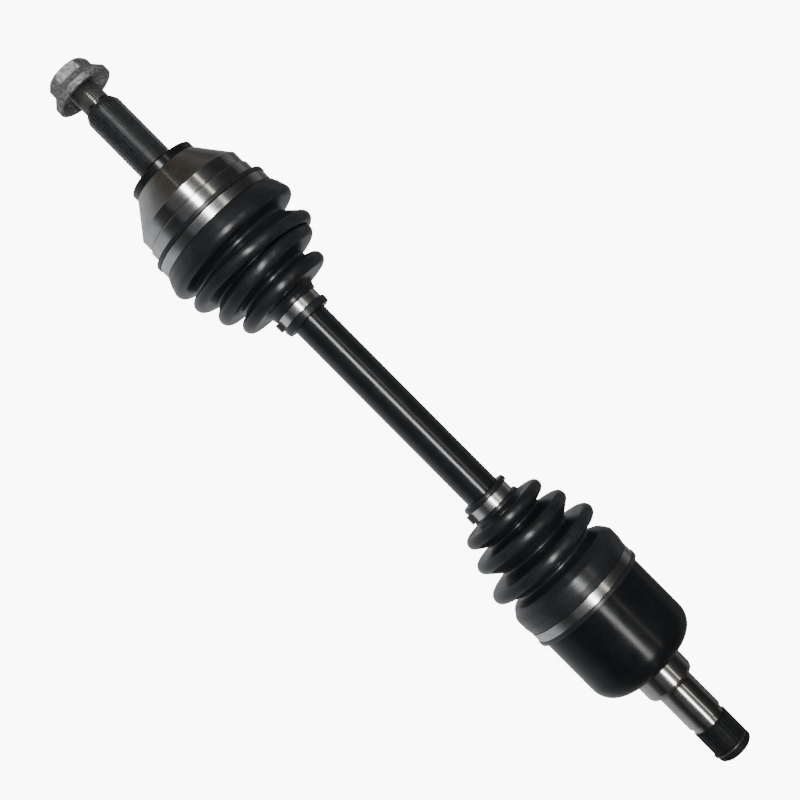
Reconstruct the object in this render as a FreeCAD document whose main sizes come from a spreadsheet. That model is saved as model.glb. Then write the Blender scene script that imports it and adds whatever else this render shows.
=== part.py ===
import FreeCAD, Part
import math
import os
import re
import Sketcher
from FreeCAD import Placement, Rotation, Vector

# Front-wheel-drive half shaft: a fixed ball joint (wheel end, -X), a solid bar, and a
# plunging tripod joint (gearbox end, +X). Everything is turned about the X axis.
# Origin: on the axis, at the face of the shoulder that the wheel hub seats against.

DIMENSIONS = {
    # wheel-end stub: thread, spline, shoulder
    "thread_tip_x": -88.2,
    "thread_top_r": 9.95,
    "thread_root_r": 9.1,
    "thread_pitch": 1.5,
    "thread_turns": 17,
    "thread_start_x": -85.6,
    "undercut_x": -60.4,
    "hub_spline_x": -58.2,
    "hub_spline_full_x": -53.8,
    "hub_spline_end_x": -3.6,
    "hub_spline_r": 13.3,
    "hub_spline_root_r": 12.45,
    "hub_spline_teeth": 32,
    "shoulder_r": 26.1,
    "shoulder_end_x": 5.6,
    # ball-joint cup
    "cup_cone_end_x": 26.0,
    "cup_band_r": 42.8,
    "cup_band_end_x": 36.1,
    "cup_seat_x": 36.9,
    "cup_seat_r": 44.1,
    "cup_rim_x": 58.8,
    "joint_x": 43.0,
    "cup_sphere_r": 34.0,
    "cage_outer_r": 33.7,
    "cage_inner_r": 28.2,
    "cage_half": 12.0,
    "race_r": 27.9,
    "race_half": 11.0,
    "ball_r": 7.94,
    "ball_pitch_r": 29.5,
    "track_r": 8.1,
    "track_spread": 1.85,
    "track_reach": 92.0,
    "window_half": 8.1,
    "window_spread": 1.6,
    # nut and its captive washer
    "nut_end_x": -90.2,
    "nut_hex_x": -82.2,
    "nut_across_flats": 29.0,
    "nut_bore_r": 10.03,
    "nut_skirt_r": 14.0,
    "nut_skirt_end_x": -77.9,
    "washer_top_r": 16.9,
    "washer_r": 22.0,
    "washer_face_x": -71.3,
    "washer_dish_x": -76.6,
    "washer_dish_r": 14.6,
    "washer_ring_r": 19.4,
    # bar
    "bar_tip_x": 28.6,
    "bar_r": 13.0,
    "bar_neck_r": 11.3,
    "bar_race_spline_r": 11.8,
    "bar_race_root_r": 11.0,
    "bar_race_teeth": 24,
    "bar_end_x": 438.2,
    "bar_tripod_neck_r": 11.0,
    "bar_spider_spline_r": 11.6,
    "bar_spider_root_r": 10.8,
    "bar_spider_teeth": 24,
    "clip_thick": 1.6,
    "clip_groove_r": 10.3,
    # tripod joint
    "tripod_x": 426.0,
    "spider_half": 8.5,
    "spider_hub_r": 15.5,
    "trunnion_r": 8.45,
    "trunnion_top_r": 30.2,
    "roller_pitch_r": 22.0,
    "roller_r": 14.5,
    "roller_half": 5.75,
    "roller_bore_r": 10.7,
    "needle_r": 1.09,
    "needle_pitch_r": 9.58,
    "needles_per_roller": 26,
    "needle_half": 5.6,
    "tulip_mouth_x": 397.0,
    "tulip_r": 40.85,
    "tulip_bore_r": 24.5,
    "tulip_track_r": 15.75,
    "tulip_track_end_x": 446.0,
    "tulip_floor_x": 455.0,
    "tulip_round_r": 16.0,
    "tulip_end_x": 467.9,
    # gearbox stub
    "seal_land_r": 18.45,
    "seal_land_end_x": 481.3,
    "journal_x": 486.0,
    "journal_r": 13.54,
    "journal_end_x": 515.4,
    "gear_spline_x": 519.4,
    "gear_spline_r": 13.34,
    "gear_spline_root_r": 12.5,
    "gear_spline_teeth": 28,
    "stub_end_x": 546.2,
    "stub_clip_x": 540.0,
    "stub_clip_groove_r": 11.4,
    "stub_clip_ring_r": 12.95,
    "stub_clip_wire_r": 0.9,
    "stub_clip_sag": 0.55,
    # boots and clamps
    "boot_wall": 2.6,
    "boot_gap": 0.3,
    "band": 0.8,
    "wheel_large_clamp_x": 49.5,
    "wheel_large_clamp_w": 7.0,
    "wheel_large_clamp_r": 47.6,
    "wheel_small_clamp_x": 128.4,
    "wheel_small_clamp_w": 6.6,
    "wheel_small_clamp_r": 16.3,
    "gear_small_clamp_x": 309.0,
    "gear_small_clamp_w": 7.0,
    "gear_small_clamp_r": 16.1,
    "gear_large_clamp_x": 395.1,
    "gear_large_clamp_w": 6.7,
    "gear_large_clamp_r": 43.0,
    "ear_rise": 3.6,
    "ear_half": 5.0,
}

TRUNNION_ANGLES = (90.0, 210.0, 330.0)
BALL_ANGLES = (0.0, 60.0, 120.0, 180.0, 240.0, 300.0)
LARGE_EAR_TURN = -90.0      # ears of the large clamps, underneath
SMALL_EAR_TURN = -130.0     # ears of the small clamps, low on the front side
STUB_CLIP_SAG_TURN = -130.0  # the way the loose wire ring hangs off centre
HEX_TURN = -15.0

doc = FreeCAD.newDocument("cv_axle")
sheet = doc.addObject("Spreadsheet::Sheet", "Dims")
for row, (alias, value) in enumerate(DIMENSIONS.items(), start=1):
    sheet.set("A%d" % row, alias)
    sheet.set("B%d" % row, str(value))
    sheet.setAlias("B%d" % row, alias)
doc.recompute()

PIECES = []


def cells(text):
    """An expression on the sheet, from one that names its aliases alone."""
    return re.sub(r"[a-z_]{3,}", lambda m: "Dims." + m[0] if m[0] in DIMENSIONS else m[0], str(text))


def number(text):
    """What such an expression comes to."""
    value = sheet.evalExpression(str(text))
    return float(getattr(value, "Value", value))


def keep(piece, label):
    """Make an object one of the axle's own pieces."""
    piece.Label = label
    PIECES.append(piece)
    return piece


def origin_part(body, role):
    return next(f for f in body.Origin.OriginFeatures if f.Role == role)


def outline(body, name, plane, points, offset=None, turn=0.0):
    """A closed sketch. Each point is (across, up), or (across, up, centre across) where an
    arc leads to it from the point before; a level arc has its centre on the axis."""
    sketch = body.newObject("Sketcher::SketchObject", name)
    sketch.AttachmentSupport = [(origin_part(body, plane), "")]
    sketch.MapMode = "FlatFace"
    sketch.AttachmentOffset = Placement(Vector(0, 0, 0), Rotation(Vector(0, 0, 1), turn))
    if offset is not None:
        sketch.setExpression("AttachmentOffset.Base.z", cells(offset))
    at = [(number(p[0]), number(p[1])) for p in points]
    first_end = []
    for i, point in enumerate(points):
        (x0, y0), (x1, y1) = at[i - 1], at[i]
        if len(point) == 2:
            sketch.addGeometry(Part.LineSegment(Vector(x0, y0, 0), Vector(x1, y1, 0)), False)
            first_end.append((1, 2))
            continue
        cx, cy = number(point[2]), 0.0
        level = abs(y1 - y0) < 1e-9
        if not level:
            cy = ((x1 - cx) ** 2 - (x0 - cx) ** 2 + y1 * y1 - y0 * y0) / (2 * (y1 - y0))
        a0, a1 = math.atan2(y0 - cy, x0 - cx), math.atan2(y1 - cy, x1 - cx)
        circle = Part.Circle(Vector(cx, cy, 0), Vector(0, 0, 1), math.hypot(x0 - cx, y0 - cy))
        anticlockwise = (a1 - a0) % (2 * math.pi) < math.pi + 1e-9
        ends = (a0, a1) if anticlockwise else (a1, a0)
        sketch.addGeometry(Part.ArcOfCircle(circle, *ends), False)
        first_end.append((1, 2) if anticlockwise else (2, 1))
        if level:
            sketch.addConstraint(Sketcher.Constraint("PointOnObject", i, 3, -1))
            continue
        sketch.addConstraint(Sketcher.Constraint("DistanceX", i, 3, cx))
        sketch.setExpression("Constraints[%d]" % (sketch.ConstraintCount - 1), cells(point[2]))
    for i, point in enumerate(points):
        following = (i + 1) % len(points)
        sketch.addConstraint(
            Sketcher.Constraint("Coincident", i, first_end[i][1], following, first_end[following][0]))
        for kind, text, value in (("DistanceX", point[0], at[i][0]), ("DistanceY", point[1], at[i][1])):
            sketch.addConstraint(Sketcher.Constraint(kind, i, first_end[i][1], value))
            sketch.setExpression("Constraints[%d]" % (sketch.ConstraintCount - 1), cells(text))
    return sketch


def turned(name, points):
    """A body turned about its own X axis from an outline of (x, radius)."""
    body = doc.addObject("PartDesign::Body", name)
    sketch = outline(body, name + "_outline", "XZ_Plane", points)
    turning = body.newObject("PartDesign::Revolution", name + "_turning")
    turning.Profile = sketch
    turning.ReferenceAxis = (sketch, ["H_Axis"])
    turning.Angle = 360
    doc.recompute()
    return body


def around(body, feature, count):
    """Repeat a feature round the X axis. count is a number or an alias."""
    pattern = body.newObject("PartDesign::PolarPattern", feature.Name + "_round")
    pattern.Originals = [feature]
    pattern.Axis = (origin_part(body, "X_Axis"), [""])
    pattern.Angle = 360
    if isinstance(count, str):
        pattern.setExpression("Occurrences", cells(count))
    pattern.Occurrences = int(number(count))
    body.Tip = pattern
    doc.recompute()
    return pattern


def cut_teeth(body, name, start, length, low, high, low_half, high_half, teeth, turn=0.0):
    """Spline spaces: a trapezium between two radii, cut along +X from start, all round."""
    before = body.Shape.Volume
    points = [("-(%s)" % low_half, low), (low_half, low), (high_half, high), ("-(%s)" % high_half, high)]
    sketch = outline(body, name + "_space", "YZ_Plane", points, start, turn)
    pocket = body.newObject("PartDesign::Pocket", name + "_cut")
    pocket.Profile = sketch
    pocket.setExpression("Length", cells(length))
    pocket.Reversed = True
    body.Tip = pocket
    doc.recompute()
    if not pocket.Shape.Volume < before - 1:
        raise RuntimeError("%s cut nothing" % name)
    return around(body, pocket, teeth)


def along_trunnion(piece, angle):
    """Stand a piece turned about X on the tripod's trunnion at this angle."""
    way = Vector(0, math.cos(math.radians(angle)), math.sin(math.radians(angle)))
    piece.Placement = Placement(Vector(0, 0, 0), Rotation(Vector(1, 0, 0), way))
    piece.setExpression("Placement.Base.x", "Dims.tripod_x")
    return piece


# ---------------------------------------------------------------- wheel-end cup and stub

def wheel_joint_cup():
    face_r = "sqrt(cup_sphere_r^2 - (cup_rim_x - 3.4 - joint_x)^2)"
    cup = turned("wheel_joint_cup", [
        ("thread_tip_x", "0"), ("thread_tip_x", "thread_root_r - 0.5"),
        ("thread_tip_x + 1.4", "thread_top_r"), ("undercut_x", "thread_top_r"),
        ("undercut_x", "thread_root_r"), ("hub_spline_x", "thread_root_r"),
        ("hub_spline_x", "hub_spline_r - 2.3"), ("hub_spline_full_x", "hub_spline_r"),
        ("hub_spline_end_x", "hub_spline_r"), ("hub_spline_end_x + 0.8", "hub_spline_root_r - 0.1"),
        ("0", "hub_spline_root_r - 0.1"), ("0", "shoulder_r - 0.8"), ("0.8", "shoulder_r"),
        ("shoulder_end_x", "shoulder_r"), ("shoulder_end_x + 0.5", "shoulder_r + 0.5"),
        ("cup_cone_end_x", "cup_band_r - 1.2"), ("cup_cone_end_x + 1.4", "cup_band_r"),
        ("cup_band_end_x", "cup_band_r"), ("cup_band_end_x + 0.1", "cup_band_r - 0.7"),
        ("cup_seat_x - 0.1", "cup_band_r - 0.7"), ("cup_seat_x", "cup_seat_r - 0.4"),
        ("cup_seat_x + 0.5", "cup_seat_r"), ("cup_rim_x - 0.8", "cup_seat_r"),
        ("cup_rim_x", "cup_seat_r - 0.8"), ("cup_rim_x", "cup_sphere_r"),
        ("cup_rim_x - 3.4", face_r), ("joint_x - cup_sphere_r", "0", "joint_x"),
    ])
    thread = outline(cup, "thread_space", "XZ_Plane", [
        ("thread_start_x - 0.62", "thread_top_r + 0.2"), ("thread_start_x", "thread_root_r"),
        ("thread_start_x + 0.62", "thread_top_r + 0.2"),
    ])
    groove = cup.newObject("PartDesign::Groove", "thread_groove")
    groove.Profile = thread
    groove.ReferenceAxis = (thread, ["H_Axis"])
    groove.Angle = 360
    cup.Tip = groove
    doc.recompute()
    turns = cup.newObject("PartDesign::LinearPattern", "thread_turns")
    turns.Originals = [groove]
    turns.Direction = (origin_part(cup, "X_Axis"), [""])
    turns.setExpression("Length", "Dims.thread_pitch * (Dims.thread_turns - 1)")
    turns.Occurrences = int(DIMENSIONS["thread_turns"])
    cup.Tip = turns
    doc.recompute()
    cut_teeth(cup, "hub_spline", "hub_spline_x - 0.5", "hub_spline_end_x - hub_spline_x + 0.5",
              "hub_spline_root_r", "hub_spline_r + 0.3", "0.42", "0.95", "hub_spline_teeth")
    ball_tracks(cup)
    return keep(cup, "wheel_joint_cup")


def ball_tracks(body):
    """Six meridian grooves centred on the joint, spread sideways so that the balls, which
    the cage carries, stay clear as the joint bends both ways at once."""
    before = body.Shape.Volume
    profile = slot_outline(body, body.Name + "_track", "YZ_Plane", "ball_pitch_r", "track_r",
                           "track_spread", "joint_x")
    groove = body.newObject("PartDesign::Groove", body.Name + "_track_cut")
    groove.Profile = profile
    groove.ReferenceAxis = (profile, ["V_Axis"])
    groove.setExpression("Angle", "Dims.track_reach")
    groove.Midplane = True
    body.Tip = groove
    doc.recompute()
    if not groove.Shape.Volume < before - 1:
        raise RuntimeError("the ball track cut nothing")
    return around(body, groove, 6)


def slot_outline(body, name, plane, centre, half, spread, offset=None):
    """A sketch of a slot with round ends: its middle at (centre, 0), half wide across, and
    spread longer each way up."""
    sketch = body.newObject("Sketcher::SketchObject", name)
    sketch.AttachmentSupport = [(origin_part(body, plane), "")]
    sketch.MapMode = "FlatFace"
    if offset is not None:
        sketch.setExpression("AttachmentOffset.Base.z", cells(offset))
    c, r, w = number(centre), number(half), number(spread)
    top = Part.Circle(Vector(c, w, 0), Vector(0, 0, 1), r)
    bottom = Part.Circle(Vector(c, -w, 0), Vector(0, 0, 1), r)
    sketch.addGeometry(Part.ArcOfCircle(top, 0, math.pi), False)
    sketch.addGeometry(Part.LineSegment(Vector(c - r, w, 0), Vector(c - r, -w, 0)), False)
    sketch.addGeometry(Part.ArcOfCircle(bottom, math.pi, 2 * math.pi), False)
    sketch.addGeometry(Part.LineSegment(Vector(c + r, -w, 0), Vector(c + r, w, 0)), False)
    for a in range(4):
        sketch.addConstraint(Sketcher.Constraint("Tangent", a, 2, (a + 1) % 4, 1))
    for kind, element, value, text in (
        ("DistanceX", 0, c, centre), ("DistanceY", 0, w, spread),
        ("DistanceX", 2, c, centre), ("DistanceY", 2, -w, "-" + spread),
    ):
        sketch.addConstraint(Sketcher.Constraint(kind, element, 3, value))
        sketch.setExpression("Constraints[%d]" % (sketch.ConstraintCount - 1), cells(text))
    sketch.addConstraint(Sketcher.Constraint("Radius", 0, r))
    sketch.setExpression("Constraints[%d]" % (sketch.ConstraintCount - 1), cells(half))
    return sketch


def axle_nut():
    """Hexagon with a chamfered crown, over a round skirt that sits in the captive washer."""
    nut = doc.addObject("PartDesign::Body", "axle_nut")
    points = [("nut_across_flats / sqrt(3) * %.10f" % math.cos(math.radians(60 * k + HEX_TURN)),
               "nut_across_flats / sqrt(3) * %.10f" % math.sin(math.radians(60 * k + HEX_TURN)))
              for k in range(6)]
    hexagon = outline(nut, "nut_hexagon", "YZ_Plane", points, "nut_end_x")
    pad = nut.newObject("PartDesign::Pad", "nut_hex_pad")
    pad.Profile = hexagon
    pad.setExpression("Length", cells("nut_hex_x - nut_end_x"))
    crown = outline(nut, "nut_crown", "XZ_Plane", [
        ("nut_end_x - 1", "nut_across_flats / 2 - 0.2"), ("nut_end_x - 1", "nut_across_flats"),
        ("nut_end_x + 4.2", "nut_across_flats"), ("nut_end_x + 1.6", "nut_across_flats / 2 + 1.35"),
        ("nut_end_x", "nut_across_flats / 2 - 0.2"),
    ])
    groove = nut.newObject("PartDesign::Groove", "nut_crown_cut")
    groove.Profile = crown
    groove.ReferenceAxis = (crown, ["H_Axis"])
    groove.Angle = 360
    skirt = outline(nut, "nut_skirt", "XZ_Plane", [
        ("nut_hex_x - 0.5", "nut_bore_r"), ("nut_hex_x - 0.5", "nut_skirt_r"),
        ("nut_skirt_end_x - 0.6", "nut_skirt_r"), ("nut_skirt_end_x", "nut_skirt_r - 0.6"),
        ("nut_skirt_end_x", "nut_bore_r"),
    ])
    turning = nut.newObject("PartDesign::Revolution", "nut_skirt_turning")
    turning.Profile = skirt
    turning.ReferenceAxis = (skirt, ["H_Axis"])
    turning.Angle = 360
    bore = outline(nut, "nut_bore", "XZ_Plane", [
        ("nut_end_x - 1", "0"), ("nut_end_x - 1", "nut_bore_r + 1"), ("nut_end_x", "nut_bore_r + 1"),
        ("nut_end_x + 1", "nut_bore_r"), ("nut_skirt_end_x + 1", "nut_bore_r"),
        ("nut_skirt_end_x + 1", "0"),
    ])
    boring = nut.newObject("PartDesign::Groove", "nut_boring")
    boring.Profile = bore
    boring.ReferenceAxis = (bore, ["H_Axis"])
    boring.Angle = 360
    nut.Tip = boring
    doc.recompute()
    return keep(nut, "axle_nut")


def nut_washer():
    """Dished washer: it bears on the hub by the flat ring near its rim."""
    return keep(turned("nut_washer", [
        ("nut_hex_x + 0.3", "nut_skirt_r + 0.3"), ("nut_hex_x + 0.3", "washer_top_r"),
        ("washer_face_x - 5.6", "washer_r - 0.9"), ("washer_face_x - 4.6", "washer_r"),
        ("washer_face_x - 0.4", "washer_r"), ("washer_face_x", "washer_r - 0.4"),
        ("washer_face_x", "washer_ring_r"), ("washer_dish_x", "washer_dish_r"),
        ("washer_dish_x", "nut_bore_r + 0.4"), ("nut_skirt_end_x + 0.2", "nut_bore_r + 0.4"),
        ("nut_skirt_end_x + 0.2", "nut_skirt_r + 0.3"),
    ]), "nut_washer")


# ---------------------------------------------------------------- inside the ball joint

def inner_race():
    face_r = "sqrt(race_r^2 - race_half^2)"
    race = turned("inner_race", [
        ("joint_x - race_half", "bar_race_root_r + 0.05"), ("joint_x - race_half", face_r),
        ("joint_x + race_half", face_r, "joint_x"), ("joint_x + race_half", "bar_race_root_r + 0.05"),
    ])
    cut_teeth(race, "race_spline", "joint_x - race_half - 0.5", "2 * race_half + 1",
              "bar_race_root_r - 0.5", "bar_race_spline_r + 0.05", "1.16", "0.75", "bar_race_teeth",
              180.0 / DIMENSIONS["bar_race_teeth"])
    ball_tracks(race)
    return keep(race, "inner_race")


def ball_cage():
    inner, outer = "sqrt(cage_inner_r^2 - cage_half^2)", "sqrt(cage_outer_r^2 - cage_half^2)"
    cage = turned("ball_cage", [
        ("joint_x - cage_half", inner, "joint_x"), ("joint_x - cage_half", outer),
        ("joint_x + cage_half", outer, "joint_x"), ("joint_x + cage_half", inner),
    ])
    before = cage.Shape.Volume
    sketch = slot_outline(cage, "window", "XZ_Plane", "joint_x", "window_half", "window_spread")
    pocket = cage.newObject("PartDesign::Pocket", "window_cut")
    pocket.Profile = sketch
    pocket.setExpression("Length", "Dims.cage_outer_r + 2")
    cage.Tip = pocket
    doc.recompute()
    if not pocket.Shape.Volume < before - 1:
        raise RuntimeError("the window cut nothing")
    around(cage, pocket, 6)
    return keep(cage, "ball_cage")


def ball(index):
    piece = doc.addObject("Part::Sphere", "ball_%d" % (index + 1))
    piece.setExpression("Radius", "Dims.ball_r")
    piece.setExpression("Placement.Base.x", "Dims.joint_x")
    for side, trig in (("y", math.cos), ("z", math.sin)):
        share = trig(math.radians(BALL_ANGLES[index]))
        piece.setExpression("Placement.Base.%s" % side, "Dims.ball_pitch_r * %.12f" % share)
    return keep(piece, "ball_%d" % (index + 1))


def snap_ring(label, start, inner, outer, thick, gap="3"):
    """A flat open ring round the X axis, from start, thick along it, with a gap on one side."""
    ring = turned(label, [
        (start, inner), (start, outer), ("%s + %s" % (start, thick), outer),
        ("%s + %s" % (start, thick), inner),
    ])
    opening = outline(ring, label + "_gap", "YZ_Plane", [
        ("0", "-(%s)" % gap), ("(%s) * 2" % outer, "-(%s)" % gap), ("(%s) * 2" % outer, gap), ("0", gap),
    ], "%s - 1" % start)
    pocket = ring.newObject("PartDesign::Pocket", label + "_gap_cut")
    pocket.Profile = opening
    pocket.setExpression("Length", cells("%s + 2" % thick))
    pocket.Reversed = True
    ring.Tip = pocket
    doc.recompute()
    return ring


# ---------------------------------------------------------------- bar

def axle_bar():
    near, far = "tripod_x - spider_half", "tripod_x + spider_half"
    bar = turned("axle_bar", [
        ("bar_tip_x", "0"), ("bar_tip_x", "bar_race_spline_r - 1"), ("bar_tip_x + 1", "bar_race_spline_r"),
        ("bar_tip_x + 1.5", "bar_race_spline_r"), ("bar_tip_x + 1.5", "clip_groove_r"),
        ("joint_x - race_half - 0.05", "clip_groove_r"), ("joint_x - race_half - 0.05", "bar_race_spline_r"),
        ("joint_x + race_half + 3", "bar_race_spline_r"), ("joint_x + race_half + 3.6", "bar_neck_r"),
        ("joint_x + 41", "bar_neck_r"), ("joint_x + 49", "bar_r"),
        ("tripod_x - 94", "bar_r"), ("tripod_x - 84", "bar_tripod_neck_r"),
        ("tripod_x - 17.5", "bar_tripod_neck_r"), ("tripod_x - 16.8", "bar_spider_spline_r"),
        (near + " - clip_thick - 0.15", "bar_spider_spline_r"),
        (near + " - clip_thick - 0.15", "clip_groove_r"), (near, "clip_groove_r"),
        (near, "bar_spider_spline_r"), (far, "bar_spider_spline_r"), (far, "clip_groove_r"),
        (far + " + clip_thick + 0.15", "clip_groove_r"), (far + " + clip_thick + 0.15", "bar_spider_spline_r"),
        ("bar_end_x - 0.8", "bar_spider_spline_r"), ("bar_end_x", "bar_spider_spline_r - 0.8"),
        ("bar_end_x", "0"),
    ])
    cut_teeth(bar, "race_end", "bar_tip_x - 0.5", "joint_x + race_half + 1.5 - bar_tip_x",
              "bar_race_root_r", "bar_race_spline_r + 0.3", "0.5", "0.98", "bar_race_teeth")
    cut_teeth(bar, "spider_end", "tripod_x - 15.5", "bar_end_x - tripod_x + 16",
              "bar_spider_root_r", "bar_spider_spline_r + 0.3", "0.5", "0.98", "bar_spider_teeth")
    return keep(bar, "axle_bar")


# ---------------------------------------------------------------- inside the tripod joint

def tripod_spider():
    """Hub on the bar's splines, with three trunnions that carry the rollers."""
    near, far = "tripod_x - spider_half", "tripod_x + spider_half"
    hub = turned("spider_hub", [
        (near, "bar_spider_root_r + 0.05"), (near, "spider_hub_r - 1.2"), (near + " + 1.2", "spider_hub_r"),
        (far + " - 1.2", "spider_hub_r"), (far, "spider_hub_r - 1.2"), (far, "bar_spider_root_r + 0.05"),
    ])
    cut_teeth(hub, "spider_spline", near + " - 0.5", "2 * spider_half + 1",
              "bar_spider_root_r - 0.5", "bar_spider_spline_r + 0.05", "1.16", "0.75", "bar_spider_teeth",
              180.0 / DIMENSIONS["bar_spider_teeth"])
    shapes = [hub]
    for angle in TRUNNION_ANGLES:
        shapes.append(along_trunnion(turned("trunnion_%d" % angle, [
            ("bar_spider_spline_r + 1.2", "0"), ("bar_spider_spline_r + 1.2", "trunnion_r"),
            ("trunnion_top_r - 1.9", "trunnion_r"), ("trunnion_top_r - 1.9", "trunnion_r - 0.7"),
            ("trunnion_top_r - 0.8", "trunnion_r - 0.7"), ("trunnion_top_r - 0.8", "trunnion_r"),
            ("trunnion_top_r - 0.5", "trunnion_r"), ("trunnion_top_r", "trunnion_r - 0.5"),
            ("trunnion_top_r", "0"),
        ]), angle))
    spider = doc.addObject("Part::MultiFuse", "tripod_spider")
    spider.Shapes = shapes
    return keep(spider, "tripod_spider")


def roller(index):
    """Barrel-shaped roller whose outside is a ball centred on the trunnion's working radius."""
    face_r = "sqrt(roller_r^2 - roller_half^2)"
    low, high = "roller_pitch_r - roller_half", "roller_pitch_r + roller_half"
    piece = turned("roller_%d" % (index + 1), [
        (low, "roller_bore_r + 0.4"), (low, face_r), (high, face_r, "roller_pitch_r"),
        (high, "roller_bore_r + 0.4"), (high + " - 0.4", "roller_bore_r"), (low + " + 0.4", "roller_bore_r"),
    ])
    return keep(along_trunnion(piece, TRUNNION_ANGLES[index]), "roller_%d" % (index + 1))


def needle_set(index):
    """One roller's full complement of needles, a ring of separate solids."""
    needles = []
    for k in range(int(DIMENSIONS["needles_per_roller"])):
        turn = 2 * math.pi * k / DIMENSIONS["needles_per_roller"]
        needle = doc.addObject("Part::Cylinder", "needle_%d_%d" % (index + 1, k + 1))
        needle.Placement = Placement(Vector(0, 0, 0), Rotation(Vector(0, 1, 0), 90))
        needle.setExpression("Radius", "Dims.needle_r")
        needle.setExpression("Height", "Dims.needle_half * 2")
        needle.setExpression("Placement.Base.x", "Dims.roller_pitch_r - Dims.needle_half")
        needle.setExpression("Placement.Base.y", "Dims.needle_pitch_r * %.12f" % math.cos(turn))
        needle.setExpression("Placement.Base.z", "Dims.needle_pitch_r * %.12f" % math.sin(turn))
        needles.append(needle)
    group = doc.addObject("Part::Compound", "needles_%d" % (index + 1))
    group.Links = needles
    return keep(along_trunnion(group, TRUNNION_ANGLES[index]), "needles_%d" % (index + 1))


def needle_washer(index):
    """Flat washer that holds the needles in, under the trunnion's snap ring."""
    low = "roller_pitch_r + roller_half + 0.05"
    high = "trunnion_top_r - 1.95"
    piece = turned("needle_washer_%d" % (index + 1), [
        (low, "trunnion_r + 0.1"), (low, "roller_bore_r + 0.9"), (high, "roller_bore_r + 0.9"),
        (high, "trunnion_r + 0.1"),
    ])
    return keep(along_trunnion(piece, TRUNNION_ANGLES[index]), "needle_washer_%d" % (index + 1))


def trunnion_ring(index):
    """Snap ring in the trunnion's groove."""
    ring = snap_ring("trunnion_ring_%d" % (index + 1), "trunnion_top_r - 1.85",
                     "trunnion_r - 0.65", "trunnion_r + 1.1", "1.0", "2")
    return keep(along_trunnion(ring, TRUNNION_ANGLES[index]), "trunnion_ring_%d" % (index + 1))


# ---------------------------------------------------------------- gearbox-end housing

def tripod_housing():
    """Cup with three straight roller tracks, and the stub that goes into the gearbox."""
    housing = turned("tripod_housing", [
        ("tulip_mouth_x", "tulip_r - 3"), ("tulip_mouth_x", "tulip_r - 0.8"),
        ("tulip_mouth_x + 0.8", "tulip_r"), ("tulip_end_x - tulip_round_r - 2.2", "tulip_r"),
        ("tulip_end_x - 2.2", "tulip_r - tulip_round_r", "tulip_end_x - tulip_round_r - 2.2"),
        ("tulip_end_x", "seal_land_r"), ("seal_land_end_x", "seal_land_r"),
        ("seal_land_end_x + 2.4", "seal_land_r - 1.1"), ("journal_x - 0.5", "journal_r + 0.7"),
        ("journal_x - 0.3", "journal_r - 0.3"), ("journal_x + 0.6", "journal_r - 0.3"),
        ("journal_x + 0.8", "journal_r"), ("journal_end_x - 0.5", "journal_r"),
        ("journal_end_x + 0.3", "journal_r - 1.15"), ("gear_spline_x - 0.9", "journal_r - 1.15"),
        ("gear_spline_x", "gear_spline_r - 0.6"), ("gear_spline_x + 0.7", "gear_spline_r"),
        ("stub_clip_x - 1.1", "gear_spline_r"), ("stub_clip_x - 1.1", "stub_clip_groove_r"),
        ("stub_clip_x + 1.1", "stub_clip_groove_r"), ("stub_clip_x + 1.1", "gear_spline_r"),
        ("stub_end_x - 2.4", "gear_spline_r"), ("stub_end_x - 1.2", "gear_spline_r - 0.7"),
        ("stub_end_x", "gear_spline_r - 2.3"), ("stub_end_x", "0"), ("tulip_floor_x", "0"),
        ("tulip_floor_x", "tulip_bore_r - 8.5"), ("tulip_floor_x - 6", "tulip_bore_r"),
        ("tulip_mouth_x + 9", "tulip_bore_r"), ("tulip_mouth_x + 5.2", "tulip_bore_r + 2.3"),
        ("tulip_mouth_x + 5.2", "tulip_r - 3"), ("tulip_mouth_x + 3.4", "tulip_r - 3"),
        ("tulip_mouth_x + 3.4", "tulip_r - 1.65"), ("tulip_mouth_x + 1.6", "tulip_r - 1.65"),
        ("tulip_mouth_x + 1.6", "tulip_r - 3"),
    ])
    before = housing.Shape.Volume
    track = outline(housing, "roller_track", "XZ_Plane", [
        ("tulip_mouth_x + 4", "roller_pitch_r"), ("tulip_mouth_x + 4", "roller_pitch_r + tulip_track_r"),
        ("tulip_track_end_x", "roller_pitch_r + tulip_track_r"),
        ("tulip_track_end_x + tulip_track_r", "roller_pitch_r", "tulip_track_end_x"),
    ])
    track.addGeometry(Part.LineSegment(Vector(0, 22, 0), Vector(500, 22, 0)), True)
    axis = track.GeometryCount - 1
    track.addConstraint(Sketcher.Constraint("Horizontal", axis))
    track.addConstraint(Sketcher.Constraint("DistanceY", axis, 1, number("roller_pitch_r")))
    track.setExpression("Constraints[%d]" % (track.ConstraintCount - 1), "Dims.roller_pitch_r")
    groove = housing.newObject("PartDesign::Groove", "roller_track_cut")
    groove.Profile = track
    groove.ReferenceAxis = (track, ["Axis0"])
    groove.Angle = 360
    housing.Tip = groove
    doc.recompute()
    if not groove.Shape.Volume < before - 1:
        raise RuntimeError("the roller track cut nothing")
    around(housing, groove, 3)
    cut_teeth(housing, "gear_spline", "gear_spline_x + 0.7", "stub_end_x - gear_spline_x",
              "gear_spline_root_r", "gear_spline_r + 0.3", "0.48", "1.0", "gear_spline_teeth")
    return keep(housing, "tripod_housing")


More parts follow.
